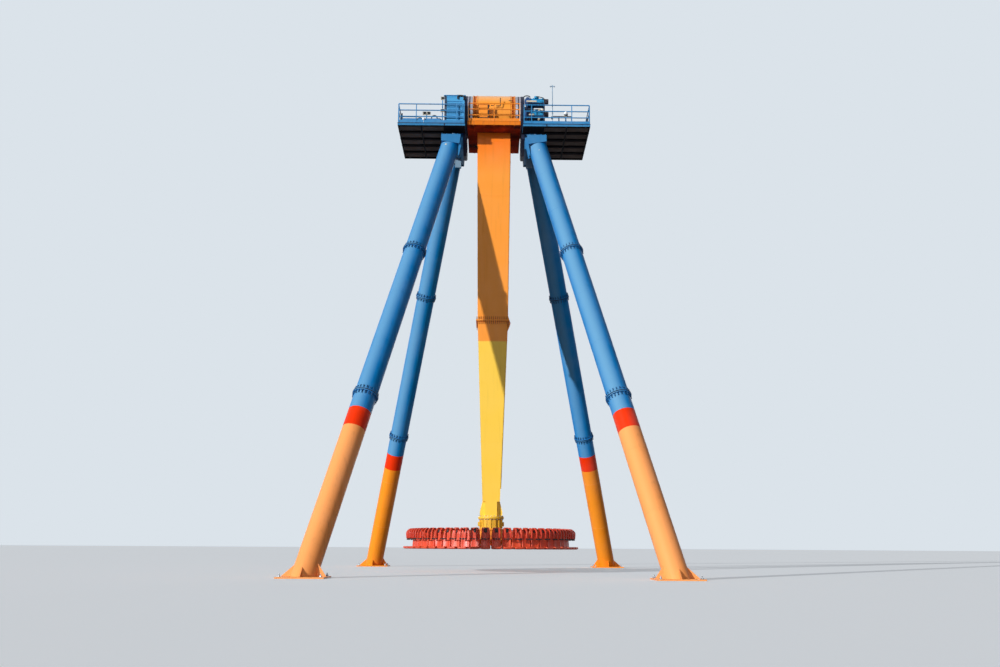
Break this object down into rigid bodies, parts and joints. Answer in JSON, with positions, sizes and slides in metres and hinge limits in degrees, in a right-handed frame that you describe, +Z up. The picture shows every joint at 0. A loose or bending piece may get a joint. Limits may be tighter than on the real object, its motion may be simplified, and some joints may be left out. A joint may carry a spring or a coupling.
{
  "type": "pendulum ride",
  "caption": "Full-size pendulum ride: four tubular legs, high axle with service decks, tapered swinging arm and a turning round gondola with outward seats.",
  "frame": {"origin": "on the ground, midway between the four feet and straight under the middle of the axle", "axes": "+X to the right along the axle, +Y along the swing, away from the viewer, +Z up"},
  "size_m": [16.59, 26.148, 26.0499],
  "materials": {
    "arm_duct_paint": "dark brown cover",
    "arm_orange_paint": "orange gloss coat",
    "arm_yellow_paint": "yellow gloss coat, orange above the colour line",
    "axle_steel": "turned steel",
    "bearing_paint": "grey blue coat",
    "cabinet_paint": "light blue powder coat",
    "deck_blue_paint": "blue coat, dark open grating below",
    "drive_frame_paint": "dark blue coat",
    "drive_housing_paint": "yellow gloss coat",
    "drive_motor_paint": "blue machine enamel",
    "gondola_paint": "orange gloss coat",
    "head_blue_paint": "blue gloss coat on welded plate",
    "hub_orange_paint": "orange gloss coat",
    "lamp_housing": "white housing with a clear front",
    "leg_blue_paint": "blue gloss coat on welded tube",
    "leg_lower_paint": "orange coat with a red band and a blue top, sun faded",
    "mast_aluminium": "drawn tube",
    "rail_blue_paint": "blue coat on square tube",
    "restraint_foam": "skinned red foam",
    "seat_red_plastic": "moulded red shell",
    "slew_ring_steel": "machined ring, slightly greased"
  },
  "bodies": {
    "frame": {"bearing_left": "bearing_paint", "bearing_right": "bearing_paint", "cabinet_left": "cabinet_paint", "drive_stand": "drive_frame_paint", "gear_motors": "drive_motor_paint", "head_left": "head_blue_paint", "head_right": "head_blue_paint", "lamps": "lamp_housing", "leg_back_left_lower": "leg_lower_paint", "leg_back_left_middle": "leg_blue_paint", "leg_back_left_upper": "leg_blue_paint", "leg_back_right_lower": "leg_lower_paint", "leg_back_right_middle": "leg_blue_paint", "leg_back_right_upper": "leg_blue_paint", "leg_front_left_lower": "leg_lower_paint", "leg_front_left_middle": "leg_blue_paint", "leg_front_left_upper": "leg_blue_paint", "leg_front_right_lower": "leg_lower_paint", "leg_front_right_middle": "leg_blue_paint", "leg_front_right_upper": "leg_blue_paint", "mast": "mast_aluminium", "platform_left": "deck_blue_paint", "platform_right": "deck_blue_paint", "rails_left": "rail_blue_paint", "rails_right": "rail_blue_paint", "slew_ring_left": "slew_ring_steel", "slew_ring_right": "slew_ring_steel"},
    "arm": {"arm_duct": "arm_duct_paint", "arm_lower": "arm_yellow_paint", "arm_upper": "arm_orange_paint", "axle_left": "axle_steel", "axle_right": "axle_steel", "gondola_drive": "drive_housing_paint", "hub_cabinet": "hub_orange_paint", "hub_drum": "hub_orange_paint", "hub_platform": "hub_orange_paint", "hub_rails": "hub_orange_paint"},
    "gondola": {"gondola_hub": "gondola_paint", "gondola_ring": "gondola_paint", "gondola_spokes": "gondola_paint", "restraint_arms": "restraint_foam", "restraint_grips": "restraint_foam", "restraint_pads": "restraint_foam", "seat_backs": "seat_red_plastic", "seat_pans": "seat_red_plastic"}
  },
  "joints": [
    {"name": "arm_swing", "type": "hinge", "parent": "frame", "child": "arm", "pos_m": [0, 0, 24.84], "axis": [1, 0, 0], "range_deg": [-120, 120]},
    {"name": "gondola_turn", "type": "hinge", "parent": "arm", "child": "gondola", "pos_m": [0, 0, 2.15], "axis": [0, 0, 1], "continuous": true}
  ]
}
